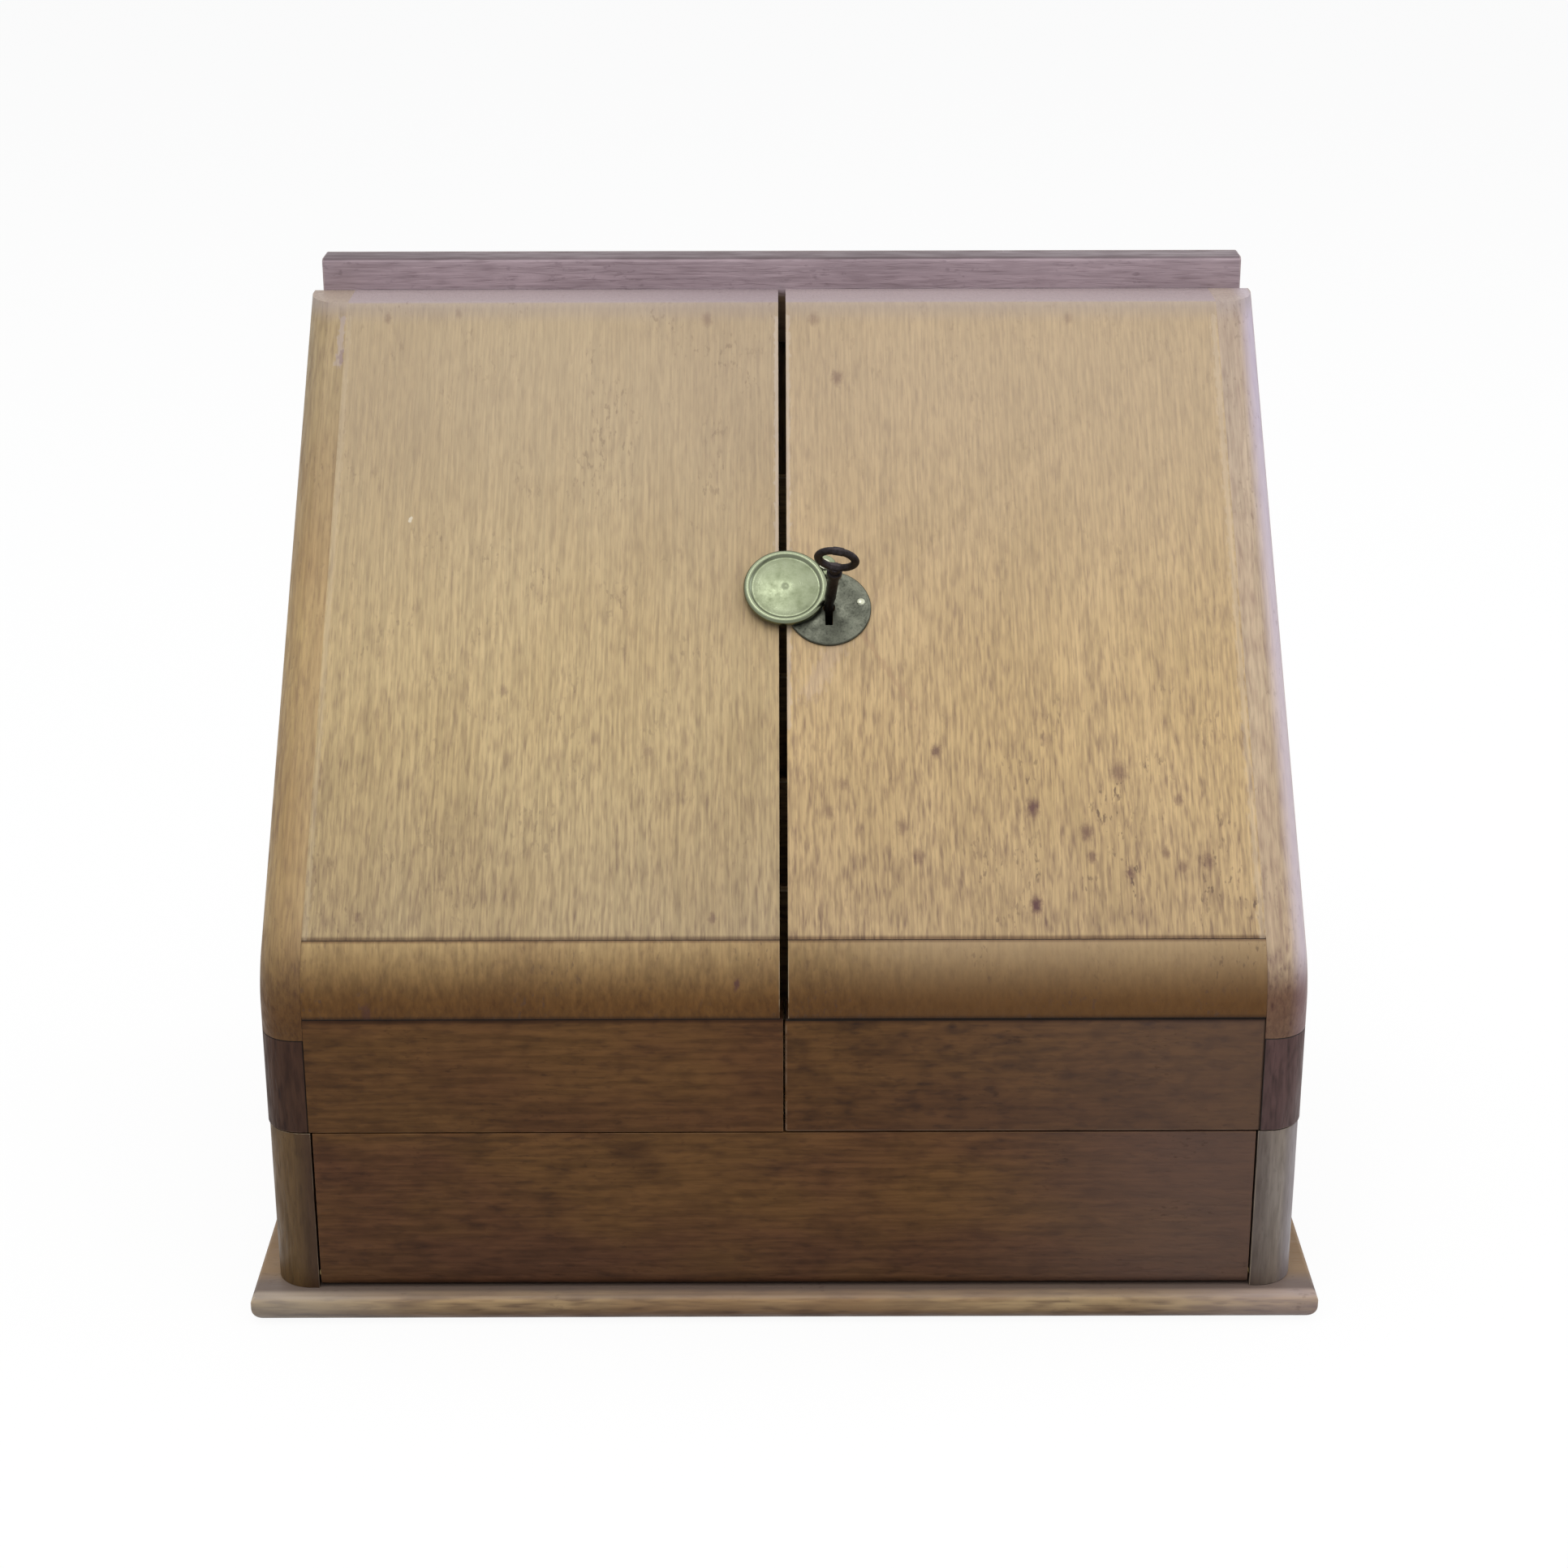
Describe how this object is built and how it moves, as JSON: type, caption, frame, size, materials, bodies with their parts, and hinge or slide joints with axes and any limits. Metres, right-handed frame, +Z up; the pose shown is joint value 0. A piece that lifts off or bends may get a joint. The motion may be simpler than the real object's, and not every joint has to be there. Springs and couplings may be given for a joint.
{
  "type": "stationery box",
  "caption": "Oak stationery box with a sloping front of two wrap-around doors, a fall front below, a letter rack and pen tray inside, and a lock with a swinging keyhole cover.",
  "frame": {"origin": "centre of the base board's underside, at table height", "axes": "+X to the right as the user faces the doors, +Y to the back, +Z up"},
  "size_m": [0.3954, 0.2698, 0.3494],
  "materials": {
    "golden_oak": "waxed oak, quarter grain, worn",
    "dark_oak": "waxed dark oak",
    "corner_oak": "waxed dark oak",
    "sheen_oak": "waxed oak with a grey sheen",
    "rail_oak": "waxed oak, faded",
    "board_oak": "waxed oak, worn edge",
    "carcass_oak": "waxed oak",
    "inner_oak": "thinly polished oak",
    "aged_brass": "tarnished brass",
    "pale_brass": "rubbed brass",
    "hinge_brass": "dull brass",
    "screw_brass": "dull brass",
    "black_iron": "blackened iron"
  },
  "bodies": {
    "carcass": {"back_bottom_rail": "carcass_oak", "back_panel": "carcass_oak", "back_stile_left": "carcass_oak", "back_stile_right": "carcass_oak", "back_top_rail": "rail_oak", "base_back": "carcass_oak", "base_board": "board_oak", "base_corner_left": "sheen_oak", "base_corner_right": "sheen_oak", "base_side_left": "carcass_oak", "base_side_right": "carcass_oak", "deck": "inner_oak", "fall_front_pins": "hinge_brass", "hinge_frame_leaves_left": "hinge_brass", "hinge_frame_leaves_right": "hinge_brass", "hinge_frame_screws_left": "screw_brass", "hinge_frame_screws_right": "screw_brass", "hinge_pins": "hinge_brass", "pen_tray": "inner_oak", "rack_cheek_left": "inner_oak", "rack_cheek_right": "inner_oak", "rack_partition_1": "inner_oak", "rack_partition_2": "inner_oak", "rack_partition_3": "inner_oak", "rack_partition_4": "inner_oak", "rack_partition_5": "inner_oak"},
    "left_door": {"bullnose_left": "golden_oak", "door_corner_left": "corner_oak", "door_side_left": "golden_oak", "frieze_left": "dark_oak", "hinge_door_leaves_left": "hinge_brass", "hinge_door_screws_left": "screw_brass", "slope_panel_left": "golden_oak", "lock_keeper": "hinge_brass", "keeper_screws": "screw_brass", "slide_bolt_plate": "hinge_brass", "slide_bolt_screws": "screw_brass"},
    "right_door": {"bullnose_right": "golden_oak", "door_corner_right": "corner_oak", "door_side_right": "golden_oak", "frieze_right": "dark_oak", "hinge_door_leaves_right": "hinge_brass", "hinge_door_screws_right": "screw_brass", "slope_panel_right": "golden_oak", "escutcheon_plate": "aged_brass", "escutcheon_pins": "aged_brass", "cover_rivet": "aged_brass", "lock_case": "hinge_brass", "lock_screws": "screw_brass"},
    "fall_front": {"fall_front": "dark_oak"},
    "keyhole_cover": {"keyhole_cover": "pale_brass"},
    "key": {"key": "black_iron"},
    "lock_bolt": {"lock_bolt": "hinge_brass"},
    "slide_bolt": {"slide_bolt": "hinge_brass"}
  },
  "joints": [
    {"name": "right_door_hinge", "type": "hinge", "parent": "carcass", "child": "right_door", "pos_m": [0.1932, 0.11067, 0.20615], "axis": [0, 0, 1], "range_deg": [0, 110]},
    {"name": "left_door_hinge", "type": "hinge", "parent": "carcass", "child": "left_door", "pos_m": [-0.1932, 0.11067, 0.20615], "axis": [0, 0, -1], "range_deg": [0, 110]},
    {"name": "fall_front_pivot", "type": "hinge", "parent": "carcass", "child": "fall_front", "pos_m": [0, -0.12317, 0.0156], "axis": [1, 0, 0], "range_deg": [0, 90]},
    {"name": "keyhole_cover_swing", "type": "hinge", "parent": "right_door", "child": "keyhole_cover", "pos_m": [0.0159, -0.00663, 0.25441], "axis": [0, 0.6833, -0.7302], "range_deg": [0, 80]},
    {"name": "key_turn", "type": "hinge", "parent": "right_door", "child": "key", "pos_m": [0.0175, -0.01714, 0.24047], "axis": [0, 0.6833, -0.7302], "range_deg": [0, 90]},
    {"name": "lock_bolt_slide", "type": "slide", "parent": "right_door", "child": "lock_bolt", "axis": [-1, 0, 0], "range_m": [0, 0.008]},
    {"name": "slide_bolt_slide", "type": "slide", "parent": "left_door", "child": "slide_bolt", "axis": [0, 0, -1], "range_m": [0, 0.006]}
  ],
  "couplings": [
    {"joint": "left_door_hinge", "follows": "right_door_hinge", "ratio": 1},
    {"joint": "key_turn", "follows": "lock_bolt_slide", "rad_per_m": 196.35}
  ]
}
